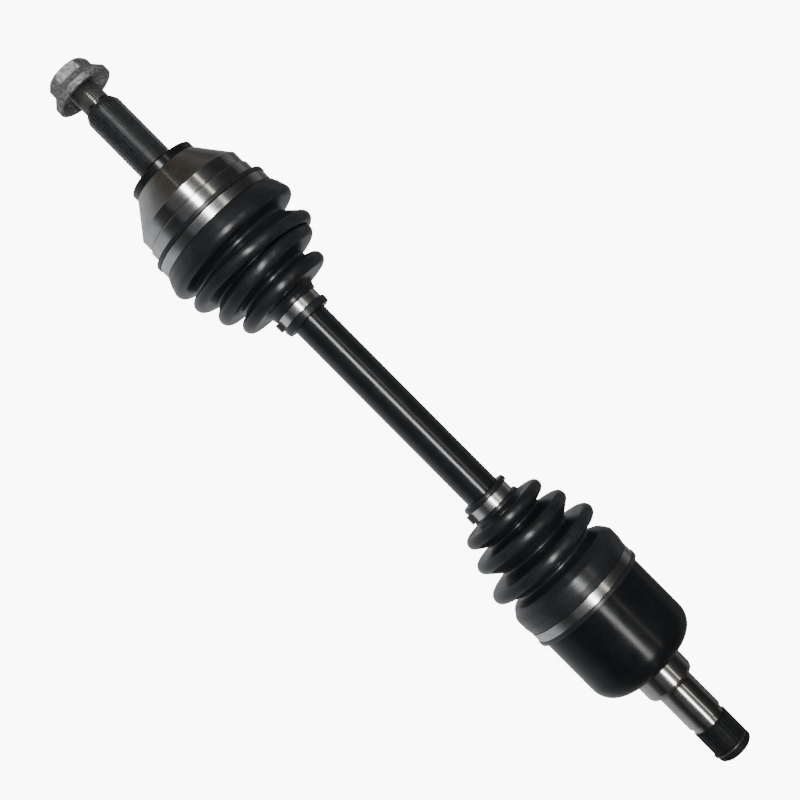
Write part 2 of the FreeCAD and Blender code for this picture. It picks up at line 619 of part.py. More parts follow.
def stub_circlip():
    """Open wire ring, loose in its groove, that snaps into the gearbox side gear."""
    wire = doc.addObject("Part::Torus", "stub_circlip_wire")
    sag = Vector(0, math.cos(math.radians(STUB_CLIP_SAG_TURN)), math.sin(math.radians(STUB_CLIP_SAG_TURN)))
    wire.Placement = Placement(Vector(0, 0, 0), Rotation(Vector(0, 0, 1), Vector(1, 0, 0)))
    wire.setExpression("Radius1", "Dims.stub_clip_ring_r")
    wire.setExpression("Radius2", "Dims.stub_clip_wire_r")
    wire.setExpression("Placement.Base.x", "Dims.stub_clip_x")
    wire.setExpression("Placement.Base.y", "Dims.stub_clip_sag * %.12f" % sag.y)
    wire.setExpression("Placement.Base.z", "Dims.stub_clip_sag * %.12f" % sag.z)
    gap = doc.addObject("Part::Box", "stub_circlip_gap")
    gap.Length, gap.Width, gap.Height = 6, 20, 5
    gap.Placement = Placement(Vector(0, 0, 0), Rotation(Vector(0, 1, 0), sag * -1))
    gap.setExpression("Placement.Base.x", "Dims.stub_clip_x - 3")
    ring = doc.addObject("Part::Cut", "stub_circlip")
    ring.Base, ring.Tool = wire, gap
    return keep(ring, "stub_circlip")


# ---------------------------------------------------------------- boots and clamps

def bellows(label, outer, inner):
    """A boot as a plain bellows: outline points outside, then back along the inside."""
    return keep(turned(label, outer + inner[::-1]), label)


def wheel_boot():
    lip, small = "wheel_large_clamp_x", "wheel_small_clamp_x"
    seat = "cup_seat_r + boot_gap"
    under = "wheel_large_clamp_r - band - boot_gap"
    ridges = [("joint_x + 19.6", "50.6"), ("joint_x + 25.2", "51.8"), ("joint_x + 33.9", "41"),
              ("joint_x + 43.9", "49.5"), ("joint_x + 49.3", "37"), ("joint_x + 55.3", "43.4"),
              ("joint_x + 65.3", "28.4"), ("joint_x + 72.6", "36"), ("joint_x + 78.5", "20")]
    outer = [(lip + " - 3.4", seat), (lip + " - 3.4", "wheel_large_clamp_r + 0.4"),
             (lip + " - 2.8", "wheel_large_clamp_r + 0.8"), (lip + " - 0.2", "wheel_large_clamp_r + 0.8"),
             (lip + " - 0.1", under), (lip + " + wheel_large_clamp_w + 0.1", under)] + ridges + [
             (small + " - 3.4", "bar_r + 5"), (small + " - 0.3", "bar_r + 4.6"),
             (small + " - 0.1", "wheel_small_clamp_r - band - 0.02"),
             (small + " + wheel_small_clamp_w + 0.1", "wheel_small_clamp_r - band - 0.02"),
             (small + " + wheel_small_clamp_w + 0.4", "bar_r + 4.8"), (small + " + 12.6", "bar_r + 4.4"),
             (small + " + 12.6", "bar_r + 0.03")]
    inner = [("cup_rim_x + 0.8", seat)] + [(x, r + " - boot_wall") for x, r in ridges[1:]] + [
             (small + " - 3", "bar_r + 1.6"), (small + " - 1.5", "bar_r + 0.03")]
    return bellows("wheel_boot", outer, inner)


def gear_boot():
    lip, small = "gear_large_clamp_x", "gear_small_clamp_x"
    seat = "tulip_r + boot_gap"
    under = "gear_large_clamp_r - band - boot_gap"
    small_under = "gear_small_clamp_r - band - boot_gap"
    ridges = [("tripod_x - 105.5", "24"), ("tripod_x - 101.4", "31.5"), ("tripod_x - 93.1", "22.7"),
              ("tripod_x - 85.1", "38.4"), ("tripod_x - 73.7", "28.2"), ("tripod_x - 64.3", "45"),
              ("tripod_x - 55.3", "33"), ("tripod_x - 50", "41")]
    outer = [(small + " - 4.2", "bar_r + boot_gap"), (small + " - 4.2", "bar_r + 4"),
             (small + " - 2.8", "bar_r + 4.9"), (small + " - 0.4", "bar_r + 4.5"),
             (small + " - 0.1", small_under), (small + " + gear_small_clamp_w + 0.1", small_under),
             (small + " + gear_small_clamp_w + 0.6", "bar_r + 5.6"),
             (small + " + gear_small_clamp_w + 2.9", "bar_r + 6")] + ridges + [
             (lip + " - 14.1", "gear_large_clamp_r + 0.9"), (lip + " - 5.5", "gear_large_clamp_r + 0.9"),
             (lip + " - 0.1", under), (lip + " + gear_large_clamp_w + 0.1", under),
             (lip + " + gear_large_clamp_w + 0.3", "gear_large_clamp_r + 0.5"),
             (lip + " + 10", "gear_large_clamp_r + 0.5"), (lip + " + 10", seat)]
    inner = [(small + " + 8.4", "bar_r + boot_gap"), (small + " + 9.6", "bar_r + 3.4")] + [
             (x, r + " - boot_wall") for x, r in ridges] + [
             (lip + " - 13.6", "gear_large_clamp_r - 1.8"), ("tulip_mouth_x - 1", seat)]
    return bellows("gear_boot", outer, inner)


def clamp(label, start, width, outer, ear_turn):
    """A stainless band with one crimped ear, an open arch that was squeezed shut."""
    band = turned(label, [
        (start, outer + " - band"), (start, outer), ("%s + %s" % (start, width), outer),
        ("%s + %s" % (start, width), outer + " - band"),
    ])
    foot = "sqrt((%s - 0.4)^2 - (ear_half + 1)^2)" % outer
    inner_foot = "sqrt((%s - 0.4)^2 - (ear_half - 0.9)^2)" % outer
    top = outer + " + ear_rise"
    points = [
        (foot, "-(ear_half + 1)"), (top + " - 0.8", "-(ear_half - 1)"), (top, "-(ear_half - 1.8)"),
        (top, "ear_half - 1.8"), (top + " - 0.8", "ear_half - 1"), (foot, "ear_half + 1"),
        (inner_foot, "ear_half - 0.9"), (top + " - 1.1", "ear_half - 2.1"),
        (top + " - 1.1", "-(ear_half - 2.1)"), (inner_foot, "-(ear_half - 0.9)"),
    ]
    ear = band.newObject("PartDesign::Pad", label + "_ear")
    ear.Profile = outline(band, label + "_ear_outline", "YZ_Plane", points, "%s + 0.4" % start)
    ear.setExpression("Length", cells("%s - 0.8" % width))
    band.Tip = ear
    band.Placement = Placement(Vector(0, 0, 0), Rotation(Vector(1, 0, 0), ear_turn))
    doc.recompute()
    return keep(band, label)


# ---------------------------------------------------------------- the whole axle

def build():
    wheel_joint_cup()
    axle_nut()
    nut_washer()
    axle_bar()
    inner_race()
    ball_cage()
    for index in range(len(BALL_ANGLES)):
        ball(index)
    keep(snap_ring("race_circlip", "bar_tip_x + 1.6", "clip_groove_r + 0.05", "bar_race_spline_r + 1.2",
                   "clip_thick"), "race_circlip")
    tripod_spider()
    for index in range(len(TRUNNION_ANGLES)):
        roller(index)
        needle_set(index)
        needle_washer(index)
        trunnion_ring(index)
    keep(snap_ring("spider_stop_ring", "tripod_x - spider_half - clip_thick - 0.1",
                   "clip_groove_r + 0.05", "bar_spider_spline_r + 1.6", "clip_thick"), "spider_stop_ring")
    keep(snap_ring("spider_circlip", "tripod_x + spider_half + 0.1",
                   "clip_groove_r + 0.05", "bar_spider_spline_r + 1.6", "clip_thick"), "spider_circlip")
    tripod_housing()
    keep(snap_ring("housing_stop_ring", "tulip_mouth_x + 1.7", "tulip_r - 4.3", "tulip_r - 1.7", "1.6", "5"),
         "housing_stop_ring")
    stub_circlip()
    wheel_boot()
    gear_boot()
    for end, side, turn in (("wheel", "large", LARGE_EAR_TURN), ("wheel", "small", SMALL_EAR_TURN),
                            ("gear", "small", SMALL_EAR_TURN), ("gear", "large", LARGE_EAR_TURN)):
        name = "%s_%s_clamp" % (end, side)
        clamp(end + "_boot_" + side + "_clamp", name + "_x", name + "_w", name + "_r", turn)


def write():
    doc.recompute()
    failed = [o.Label for o in doc.Objects if {"Invalid", "Error"} & set(o.State)]
    failed += [p.Label for p in PIECES if p.Shape.isNull() or not p.Shape.isValid()]
    if failed:
        raise RuntimeError("failed: %s" % sorted(set(failed)))
    os.makedirs("parts", exist_ok=True)
    for piece in PIECES:
        piece.Shape.exportStep("parts/%s.step" % piece.Label)
        box = piece.Shape.BoundBox
        print("%-26s %2d solids %10.1f mm3  x %7.2f to %7.2f" % (
            piece.Label, len(piece.Shape.Solids), piece.Shape.Volume, box.XMin, box.XMax))


build()
write()
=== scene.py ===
import math
from collections import namedtuple
import bpy
import numpy as np
from mathutils import Matrix, Vector


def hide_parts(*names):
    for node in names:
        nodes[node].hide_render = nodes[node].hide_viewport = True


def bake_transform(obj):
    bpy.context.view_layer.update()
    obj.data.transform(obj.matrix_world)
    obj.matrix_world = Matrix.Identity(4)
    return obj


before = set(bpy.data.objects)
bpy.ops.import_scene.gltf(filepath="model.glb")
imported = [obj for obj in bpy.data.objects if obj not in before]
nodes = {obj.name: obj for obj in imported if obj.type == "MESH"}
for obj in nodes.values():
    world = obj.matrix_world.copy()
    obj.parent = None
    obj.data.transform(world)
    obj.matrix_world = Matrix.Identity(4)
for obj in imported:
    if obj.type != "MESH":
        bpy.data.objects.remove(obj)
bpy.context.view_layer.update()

MM_PER_M = 1000.0


# ---------------------------------------------------------------- materials

NOISE_LOW, NOISE_HIGH = 0.3, 0.7        # most of a noise's values lie between these


class Shader:
    """A Principled material whose colour, roughness and relief come from procedural textures."""

    def __init__(self, name, metallic=0.0, **sockets):
        self.material = bpy.data.materials.new(name)
        self.material.use_nodes = True
        self.tree = self.material.node_tree
        self.principled = self.tree.nodes["Principled BSDF"]
        self.principled.inputs["Metallic"].default_value = metallic
        for socket, value in sockets.items():
            self.principled.inputs[socket.replace("_", " ")].default_value = value
        self.bump = None

    def noise(self, scale, detail=4.0, roughness=0.5):
        """Noise in object space. scale is per metre along X, Y and Z."""
        place = self.tree.nodes.new("ShaderNodeTexCoord")
        mapping = self.tree.nodes.new("ShaderNodeMapping")
        mapping.inputs["Scale"].default_value = scale
        texture = self.tree.nodes.new("ShaderNodeTexNoise")
        texture.inputs["Scale"].default_value = 1.0
        texture.inputs["Detail"].default_value = detail
        texture.inputs["Roughness"].default_value = roughness
        self.tree.links.new(place.outputs["Object"], mapping.inputs["Vector"])
        self.tree.links.new(mapping.outputs["Vector"], texture.inputs["Vector"])
        return texture.outputs["Fac"]

    def colour(self, factor, *stops):
        """Colour by a ramp of (position, colour) stops along a texture."""
        node = self.tree.nodes.new("ShaderNodeValToRGB")
        elements = node.color_ramp.elements
        elements[0].position, elements[0].color = stops[0][0], (*stops[0][1], 1)
        elements[1].position, elements[1].color = stops[-1][0], (*stops[-1][1], 1)
        for position, colour in stops[1:-1]:
            elements.new(position).color = (*colour, 1)
        self.tree.links.new(factor, node.inputs["Fac"])
        self.tree.links.new(node.outputs["Color"], self.principled.inputs["Base Color"])

    def rough(self, factor, low, high):
        """Roughness between low and high, by a noise."""
        node = self.tree.nodes.new("ShaderNodeMapRange")
        node.inputs["From Min"].default_value = NOISE_LOW
        node.inputs["From Max"].default_value = NOISE_HIGH
        node.inputs["To Min"].default_value = low
        node.inputs["To Max"].default_value = high
        self.tree.links.new(factor, node.inputs["Value"])
        self.tree.links.new(node.outputs["Result"], self.principled.inputs["Roughness"])

    def relief(self, height, distance, strength=1.0):
        """A bump of this many metres, on top of any bump made before."""
        node = self.tree.nodes.new("ShaderNodeBump")
        node.inputs["Distance"].default_value = distance
        node.inputs["Strength"].default_value = strength
        self.tree.links.new(height, node.inputs["Height"])
        if self.bump is not None:
            self.tree.links.new(self.bump.outputs["Normal"], node.inputs["Normal"])
        self.tree.links.new(node.outputs["Normal"], self.principled.inputs["Normal"])
        self.bump = node


def tinted(value, tint=(1.0, 1.0, 1.0)):
    """A grey of this value, coloured by a tint."""
    return tuple(value * t for t in tint)


def turned_steel(name, dark, light, low, high, lines=1400.0, depth=6e-6, tint=(1.0, 1.0, 1.0), metallic=1.0):
    """Machined steel: fine rings round the X axis over faint broad mottling."""
    shader = Shader(name, metallic=metallic)
    rings = shader.noise((lines, 14, 14), 3.0, 0.6)
    cloud = shader.noise((90, 90, 90), 5.0, 0.6)
    shader.colour(cloud, (0.3, tinted(dark, tint)), (0.7, tinted(light, tint)))
    shader.rough(rings, low, high)
    shader.relief(rings, depth, 0.6)
    return shader.material


def black_paint(name, base, low, high, peel=1.2e-5, gloss=0.5):
    """Gloss black paint with a faint orange peel and dust-like patches."""
    shader = Shader(name, Specular_IOR_Level=gloss)
    cloud = shader.noise((60, 60, 60), 6.0, 0.62)
    dusty = base * 1.9
    shader.colour(cloud, (0.3, tinted(base, (0.85, 0.98, 1.1))), (0.72, tinted(dusty, (0.85, 1.0, 1.12))))
    shader.rough(shader.noise((130, 130, 130), 4.0), low, high)
    shader.relief(shader.noise((700, 700, 700), 2.0), peel, 0.5)
    return shader.material


def phosphate(name, dark, light, low, high, gloss):
    """Dull phosphated steel, speckled like fine charcoal."""
    shader = Shader(name, metallic=0.1, Specular_IOR_Level=gloss)
    shader.colour(shader.noise((300, 300, 300), 6.0, 0.7),
                  (0.3, tinted(dark, (0.92, 1.0, 1.08))), (0.7, tinted(light, (0.92, 1.0, 1.08))))
    shader.rough(shader.noise((500, 160, 160)), low, high)
    shader.relief(shader.noise((1500, 1500, 1500), 3.0), 5e-6)
    return shader.material


def zinc_plate():
    """Dull, patchy zinc over a slightly pitted nut."""
    shader = Shader("zinc_plate", metallic=0.55, Specular_IOR_Level=0.4)
    shader.colour(shader.noise((420, 420, 420), 9.0, 0.78), (0.34, (0.03, 0.032, 0.034)),
                  (0.47, (0.14, 0.143, 0.147)), (0.62, (0.34, 0.345, 0.345)))
    shader.rough(shader.noise((400, 400, 400), 5.0), 0.46, 0.62)
    shader.relief(shader.noise((650, 650, 650), 5.0, 0.65), 9e-5, 0.6)
    return shader.material


def oiled_spring_steel():
    """Dark spring steel, as snap rings have."""
    shader = Shader("spring_steel_oiled", metallic=0.6)
    shader.colour(shader.noise((400, 400, 400), 5.0), (0.3, (0.03, 0.03, 0.034)), (0.7, (0.075, 0.075, 0.08)))
    shader.rough(shader.noise((600, 600, 600)), 0.28, 0.42)
    shader.relief(shader.noise((1800, 1800, 1800)), 8e-6)
    return shader.material


def boot_rubber():
    """Black, faintly blue rubber with soft waves and a fine grain."""
    shader = Shader("boot_rubber", Specular_IOR_Level=0.4)
    shader.colour(shader.noise((45, 45, 45), 7.0, 0.66), (0.28, (0.009, 0.0103, 0.012)),
                  (0.55, (0.0145, 0.0165, 0.019)), (0.78, (0.026, 0.0285, 0.032)))
    shader.rough(shader.noise((70, 70, 70), 6.0, 0.6), 0.2, 0.3)
    shader.relief(shader.noise((240, 240, 240), 3.0), 3e-5, 0.3)
    shader.relief(shader.noise((1500, 1500, 1500), 3.0), 2e-6, 0.5)
    return shader.material


WARM_STEEL = (1.0, 0.98, 0.95)
PAINT = black_paint("bar_paint", 0.008, 0.14, 0.22)
HOUSING_PAINT = black_paint("housing_paint", 0.0055, 0.15, 0.24, 1.5e-5, 0.16)
RING_PAINT = black_paint("ring_paint", 0.006, 0.12, 0.2, 8e-6, 0.4)
POLISHED = turned_steel("polished_cup_steel", 0.33, 0.45, 0.09, 0.17, depth=2.5e-6)
LAND = turned_steel("ground_steel", 0.25, 0.36, 0.1, 0.18, 2400.0, 3e-6, (1.0, 0.985, 0.96))
SHANK = turned_steel("shank_steel", 0.13, 0.22, 0.12, 0.2, 1100.0, 2.5e-6, WARM_STEEL)
THREAD = turned_steel("thread_steel", 0.13, 0.2, 0.14, 0.21, 1100.0, 2.5e-6, WARM_STEEL, 0.62)
INNER = turned_steel("hardened_steel", 0.45, 0.6, 0.15, 0.3, 900.0)
BAND = turned_steel("clamp_steel", 0.5, 0.66, 0.15, 0.28, 3000.0, 4e-6)
WIDE_BAND = turned_steel("large_clamp_steel", 0.34, 0.48, 0.13, 0.24, 3000.0, 4e-6)
HUB_SPLINE = phosphate("hub_spline_phosphate", 0.013, 0.034, 0.28, 0.42, 0.32)
GEAR_SPLINE = phosphate("gearbox_spline_phosphate", 0.005, 0.014, 0.5, 0.65, 0.12)
ZINC = zinc_plate()
SPRING = oiled_spring_steel()
RUBBER = boot_rubber()


# ---------------------------------------------------------------- finishes of the CAD pieces

# where one finish meets the next, in mm: X along the shaft from the hub shoulder, R from its axis
THREAD_END_X = -60.3
HUB_SPLINE_START_X = -59.0
HUB_SPLINE_END_X = -3.55
RING_START_X = 0.0
RING_END_X = 5.55
RING_INNER_R = 12.6
BAR_PAINT_START_X = 57.5
BAR_PAINT_END_X = 409.0
HOUSING_OUTER_R = 40.0
HOUSING_END_START_X = 449.0
HOUSING_END_INNER_R = 17.0
SEAL_LAND_START_X = 467.7
SEAL_LAND_R = 18.6
GEAR_SPLINE_START_X = 519.0


def wear(node, *materials):
    """Give a CAD piece these material slots in place of its own."""
    mesh = nodes[node].data
    mesh.materials.clear()
    for material in materials:
        mesh.materials.append(material)
    return mesh


def wear_zones(node, choose, *materials):
    """Give each face of a CAD piece one of the materials, by where its middle is in mm."""
    mesh = wear(node, *materials)
    for face in mesh.polygons:
        x, y, z = (MM_PER_M * c for c in face.center)
        face.material_index = materials.index(choose(x, math.hypot(y, z)))


def cup_finish(x, r):
    """Threaded tip, phosphated spline, painted ring and polished cup."""
    if x < THREAD_END_X:
        return THREAD
    if x < HUB_SPLINE_START_X:
        return SHANK
    if x < HUB_SPLINE_END_X:
        return HUB_SPLINE
    if x < RING_START_X:
        return SHANK
    if x < RING_END_X and r > RING_INNER_R:
        return RING_PAINT
    return POLISHED


def housing_finish(x, r):
    """Painted outside, ground lands on the stub, phosphated spline, hardened tracks inside."""
    if x > GEAR_SPLINE_START_X:
        return GEAR_SPLINE
    if x > SEAL_LAND_START_X and r < SEAL_LAND_R:
        return LAND
    if r > HOUSING_OUTER_R or x > HOUSING_END_START_X and r > HOUSING_END_INNER_R:
        return HOUSING_PAINT
    return INNER


def bar_finish(x, r):
    """Painted between the joints, bare on the splines."""
    return PAINT if BAR_PAINT_START_X < x < BAR_PAINT_END_X else INNER


def plain_finish(name):
    """The material of a piece that has one finish all over."""
    if name in ("axle_nut", "nut_washer"):
        return ZINC
    if name.endswith("clamp"):
        return WIDE_BAND if "large" in name else BAND
    if name.endswith(("circlip", "ring")) or name.startswith("trunnion_ring"):
        return SPRING
    if name in ("wheel_boot", "gear_boot"):
        return RUBBER
    return INNER


ZONED = {
    "wheel_joint_cup": (cup_finish, SHANK, HUB_SPLINE, RING_PAINT, POLISHED, THREAD),
    "tripod_housing": (housing_finish, HOUSING_PAINT, LAND, GEAR_SPLINE, INNER),
    "axle_bar": (bar_finish, PAINT, INNER),
}
for name in nodes:
    if name in ZONED:
        wear_zones(name, *ZONED[name])
    else:
        wear(name, plain_finish(name))


# ---------------------------------------------------------------- boots

STEPS_ROUND = 144
STEPS_PER_ARC = 12
LONGEST_STEP = 1.2                      # mm along a profile
LEAN = Vector((0.0, -0.643, -0.766))    # the way one side of each fold leans along the shaft

# A corner of a boot's profile, in mm. kind is 1 for the outside of a fold, -1 for the crease
# between folds and 0 for a plain corner; lean is how far LEAN's side of it is moved along X.
Corner = namedtuple("Corner", "x r arc lean kind")


def corner(x, r, arc=0.0):
    """A plain corner, rounded by an arc."""
    return Corner(x, r, arc, 0.0, 0)


def peak(x, r, arc, lean=0.0):
    """A fold's outside: an arc whose highest point is at x, r."""
    return Corner(x, r, arc, lean, 1)


def valley(x, r, arc, lean=0.0):
    """The crease between folds: an arc whose lowest point is at x, r."""
    return Corner(x, r, arc, lean, -1)


def straight_runs(corners):
    """The centre of each corner's arc, and where the run to the next corner starts and ends.
    Runs touch the circles of folds and creases, and meet in plain corners."""
    way = 1 if corners[-1].x > corners[0].x else -1
    centres = [Vector((c.x, c.r - c.kind * c.arc)) for c in corners]
    sides = [c.kind * c.arc for c in corners]
    starts, ends = [], []
    for i in range(len(corners) - 1):
        run = centres[i + 1] - centres[i]
        step = (sides[i] - sides[i + 1]) / run.length
        ahead = run.normalized()
        side = Vector((-ahead.y, ahead.x)) * way
        normal = ahead * step + side * math.sqrt(1.0 - step * step)
        starts.append(centres[i] + normal * sides[i])
        ends.append(centres[i + 1] + normal * sides[i + 1])
    return centres, starts, ends


def fillet(point, before, after, arc):
    """The middle, first point and last point of an arc that rounds a plain corner."""
    half = before.angle(after) / 2
    reach = min(arc / math.tan(half), before.length * 0.49, after.length * 0.49)
    halfway = (before.normalized() + after.normalized()).normalized()
    middle = point + halfway * (reach / math.cos(half))
    return middle, point + before.normalized() * reach, point + after.normalized() * reach


def rounded(corners):
    """The points (x, r, lean) of a profile made of straight runs and arcs."""
    centres, starts, ends = straight_runs(corners)
    profile = []
    for i, point in enumerate(corners):
        if i in (0, len(corners) - 1) or point.arc <= 0:
            profile.append((point.x, point.r, point.lean))
            continue
        if point.kind:
            middle, first, last = centres[i], ends[i - 1], starts[i]
        else:
            middle, first, last = fillet(centres[i], starts[i - 1] - centres[i], ends[i] - centres[i],
                                         point.arc)
        first = first - middle
        swing = first.angle_signed(last - middle)
        for k in range(STEPS_PER_ARC + 1):
            turn = -swing * k / STEPS_PER_ARC
            x = middle.x + first.x * math.cos(turn) - first.y * math.sin(turn)
            r = middle.y + first.x * math.sin(turn) + first.y * math.cos(turn)
            profile.append((x, r, point.lean))
    return profile


def filled(profile):
    """The same profile with long straight runs divided."""
    points = [profile[0]]
    for point in profile[1:]:
        start = points[-1]
        count = max(1, math.ceil(math.dist(start[:2], point[:2]) / LONGEST_STEP))
        for k in range(1, count + 1):
            points.append(tuple(a + (b - a) * k / count for a, b in zip(start, point)))
    return points


def skin(points, outward):
    """Rings of vertices in metres along a profile, and their normals."""
    turn = np.linspace(0, 2 * math.pi, STEPS_ROUND, endpoint=False)
    side = np.stack([np.zeros(STEPS_ROUND), np.cos(turn), np.sin(turn)], axis=1)
    x, r, lean = (np.array(column)[:, None] for column in zip(*points))
    at = r[..., None] * side[None]
    at[..., 0] = x + lean * (side @ np.array(LEAN))[None]
    at /= MM_PER_M
    run = np.diff(at, axis=0)
    run /= np.linalg.norm(run, axis=2, keepdims=True)
    ahead = np.concatenate([run[:1], run[1:] + run[:-1], run[-1:]])
    normals = np.cross(np.roll(at, -1, 1) - np.roll(at, 1, 1), ahead) * outward
    return at, normals / np.linalg.norm(normals, axis=2, keepdims=True)


def band_of_quads(low, high):
    """Quads between two rings of vertices, given by each ring's first vertex."""
    around = np.arange(STEPS_ROUND)
    following = np.roll(around, -1)
    return np.stack([low + around, low + following, high + following, high + around], axis=1)


def section_mesh(name, skins, section, closed, way):
    """One section of a boot: its part of both skins, and a cap at each closed end."""
    vertices, normals, faces, ends = [], [], [], []
    for at, normal, cuts, outward in skins:
        base = sum(len(v) for v in vertices)
        rings = cuts[section + 1] - cuts[section]
        part = slice(cuts[section], cuts[section + 1] + 1)
        vertices.append(at[part].reshape(-1, 3))
        normals.append(normal[part].reshape(-1, 3))
        for i in range(rings):
            low = base + i * STEPS_ROUND
            quads = band_of_quads(low, low + STEPS_ROUND)
            faces += (quads if outward > 0 else quads[:, ::-1]).tolist()
        ends.append((base, base + rings * STEPS_ROUND))
    for end in (0, 1):
        if closed[end]:
            cap = band_of_quads(ends[0][end], ends[1][end])
            faces += (cap if (end == 1) == (way > 0) else cap[:, ::-1]).tolist()
    mesh = bpy.data.meshes.new(name)
    mesh.from_pydata(np.concatenate(vertices).tolist(), [], faces)
    mesh.polygons.foreach_set("use_smooth", [True] * len(mesh.polygons))
    mesh.update()
    mesh.normals_split_custom_set_from_vertices(np.concatenate(normals).tolist())
    mesh.materials.append(RUBBER)
    return mesh


def boot(name, outer, inner, borders, reaches):
    """A bellows boot in sections. outer and inner run from the first body's end to the last one's;
    borders are the x where one section meets the next."""
    way = 1 if outer[-1].x > outer[0].x else -1
    skins = []
    for corners, outward in ((outer, way), (inner, -way)):
        points = filled(rounded(corners))
        nearest = [min(range(len(points)), key=lambda i: abs(points[i][0] - x)) for x in borders]
        skins.append((*skin(points, outward), [0] + nearest + [len(points) - 1], outward))
    for section, (start, end) in enumerate(reaches):
        piece_name = "%s_fold_%d" % (name, section + 1)
        closed = (section == 0, section == len(reaches) - 1)
        piece = bpy.data.objects.new(piece_name, section_mesh(piece_name, skins, section, closed, way))
        bpy.context.scene.collection.objects.link(piece)
        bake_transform(piece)
        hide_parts(name)


wheel_outer = [
    corner(141.0, 13.05), corner(141.0, 17.3, 0.8), corner(137.7, 18.1, 1.2), corner(135.3, 17.8, 0.8),
    corner(135.2, 15.45, 0.2), corner(128.2, 15.45, 0.2), corner(128.0, 17.6, 0.6), corner(125.0, 18.2, 2.0),
    corner(121.4, 21.0, 3.6), peak(116.2, 36.6, 5.2, 0.5), valley(108.2, 28.0, 2.2, 0.9),
    peak(99.4, 43.9, 5.5, 2.2), valley(92.3, 36.4, 0.8, 0.3), peak(87.2, 49.7, 4.9, -3.1),
    valley(77.5, 38.9, 2.0, 0.3), peak(68.6, 52.3, 5.0), corner(61.5, 50.3, 4.0), corner(57.2, 48.2, 0.5),
    corner(56.8, 46.75, 0.2), corner(49.2, 46.75, 0.2), corner(49.1, 48.4, 0.6), corner(46.1, 48.3, 0.7),
    corner(46.1, 44.4),
]
wheel_inner = [
    corner(141.0, 13.05), corner(124.0, 13.05, 0.5), corner(120.6, 18.4, 2.0), peak(116.2, 34.6, 3.2, 0.5),
    valley(108.2, 26.2, 4.0, 0.9), peak(99.4, 41.9, 3.5, 2.2), valley(92.3, 34.5, 2.5, 0.3),
    peak(87.2, 47.7, 2.9, -3.1), valley(77.5, 37.0, 3.8, 0.3), peak(68.6, 50.3, 5.0), corner(61.0, 48.0, 2.0),
    corner(59.6, 44.4), corner(46.1, 44.4),
]
boot("wheel_boot", wheel_outer, wheel_inner, (106.0, 92.3, 77.5),
     ((128.2, 107.3), (104.7, 93.8), (90.8, 78.6), (76.4, 59.5)))

gear_outer = [
    corner(304.8, 13.05), corner(304.8, 17.2, 0.8), corner(306.8, 18.0, 1.0), corner(308.7, 17.7, 0.6),
    corner(308.9, 15.25, 0.2), corner(316.1, 15.25, 0.2), corner(316.4, 18.2, 0.8), corner(319.0, 18.8, 1.4),
    corner(320.6, 23.0, 2.0), peak(325.2, 32.4, 4.6, -0.8), valley(333.9, 22.7, 1.2, 0.2),
    peak(341.8, 38.8, 4.9, -0.9), valley(353.4, 28.2, 1.3, -0.4), peak(361.9, 45.3, 4.9, 0.4),
    valley(371.2, 32.2, 1.5, 0.8), corner(375.2, 39.6, 6.0), corner(381.2, 44.1, 6.0),
    corner(389.5, 43.9, 4.0), corner(394.8, 42.9, 0.6), corner(395.0, 42.15, 0.2),
    corner(401.9, 42.15, 0.2), corner(402.0, 43.8, 0.4), corner(405.1, 43.7, 0.6), corner(405.1, 41.15),
]
gear_inner = [
    corner(304.8, 13.05), corner(318.0, 13.05, 1.0), corner(320.2, 18.4, 2.0), peak(325.2, 30.4, 2.6, -0.8),
    valley(333.9, 20.9, 2.9, 0.2), peak(341.8, 36.8, 2.9, -0.9), valley(353.4, 26.4, 3.0, -0.4),
    peak(361.9, 43.3, 2.9, 0.4), valley(371.2, 30.4, 3.1, 0.8), corner(377.0, 38.4, 4.0),
    corner(382.2, 41.3, 2.0), corner(396.5, 41.15), corner(405.1, 41.15),
]
boot("gear_boot", gear_outer, gear_inner, (361.9, 371.2),
     ((334.5, 361.3), (362.5, 370.3), (372.1, 396.0)))


# ---------------------------------------------------------------- floor and backdrop

STAGE_X = 0.23
FLOOR_Z = -0.0526
FLOOR_SIZE = 20.0
FLOOR_GLOW = 9.0
BACKDROP_RADIUS = 11.0
BACKDROP_GLOW = 10.0


def white(name, strength):
    """A pale, plain surface for the stage, as bright as a lit studio sweep."""
    material = bpy.data.materials.new(name)
    material.use_nodes = True
    principled = material.node_tree.nodes["Principled BSDF"]
    principled.inputs["Base Color"].default_value = (0.86, 0.86, 0.86, 1)
    principled.inputs["Roughness"].default_value = 0.9
    principled.inputs["Specular IOR Level"].default_value = 0.1
    principled.inputs["Emission Color"].default_value = (1, 1, 1, 1)
    principled.inputs["Emission Strength"].default_value = strength
    return material


def stage(name, material):
    """The object just made is a part of the stage that the light passes through."""
    piece = bpy.context.object
    piece.name = name
    piece.data.materials.append(material)
    piece.visible_glossy = False
    piece.visible_diffuse = False
    piece.visible_shadow = False


bpy.ops.mesh.primitive_plane_add(size=FLOOR_SIZE, location=(STAGE_X, 0.0, FLOOR_Z))
stage("floor", white("pale_floor", FLOOR_GLOW))
bpy.ops.mesh.primitive_uv_sphere_add(segments=48, ring_count=24, radius=BACKDROP_RADIUS,
                                     location=(STAGE_X, 0.0, 0.0))
stage("backdrop", white("pale_backdrop", BACKDROP_GLOW))


# ---------------------------------------------------------------- light

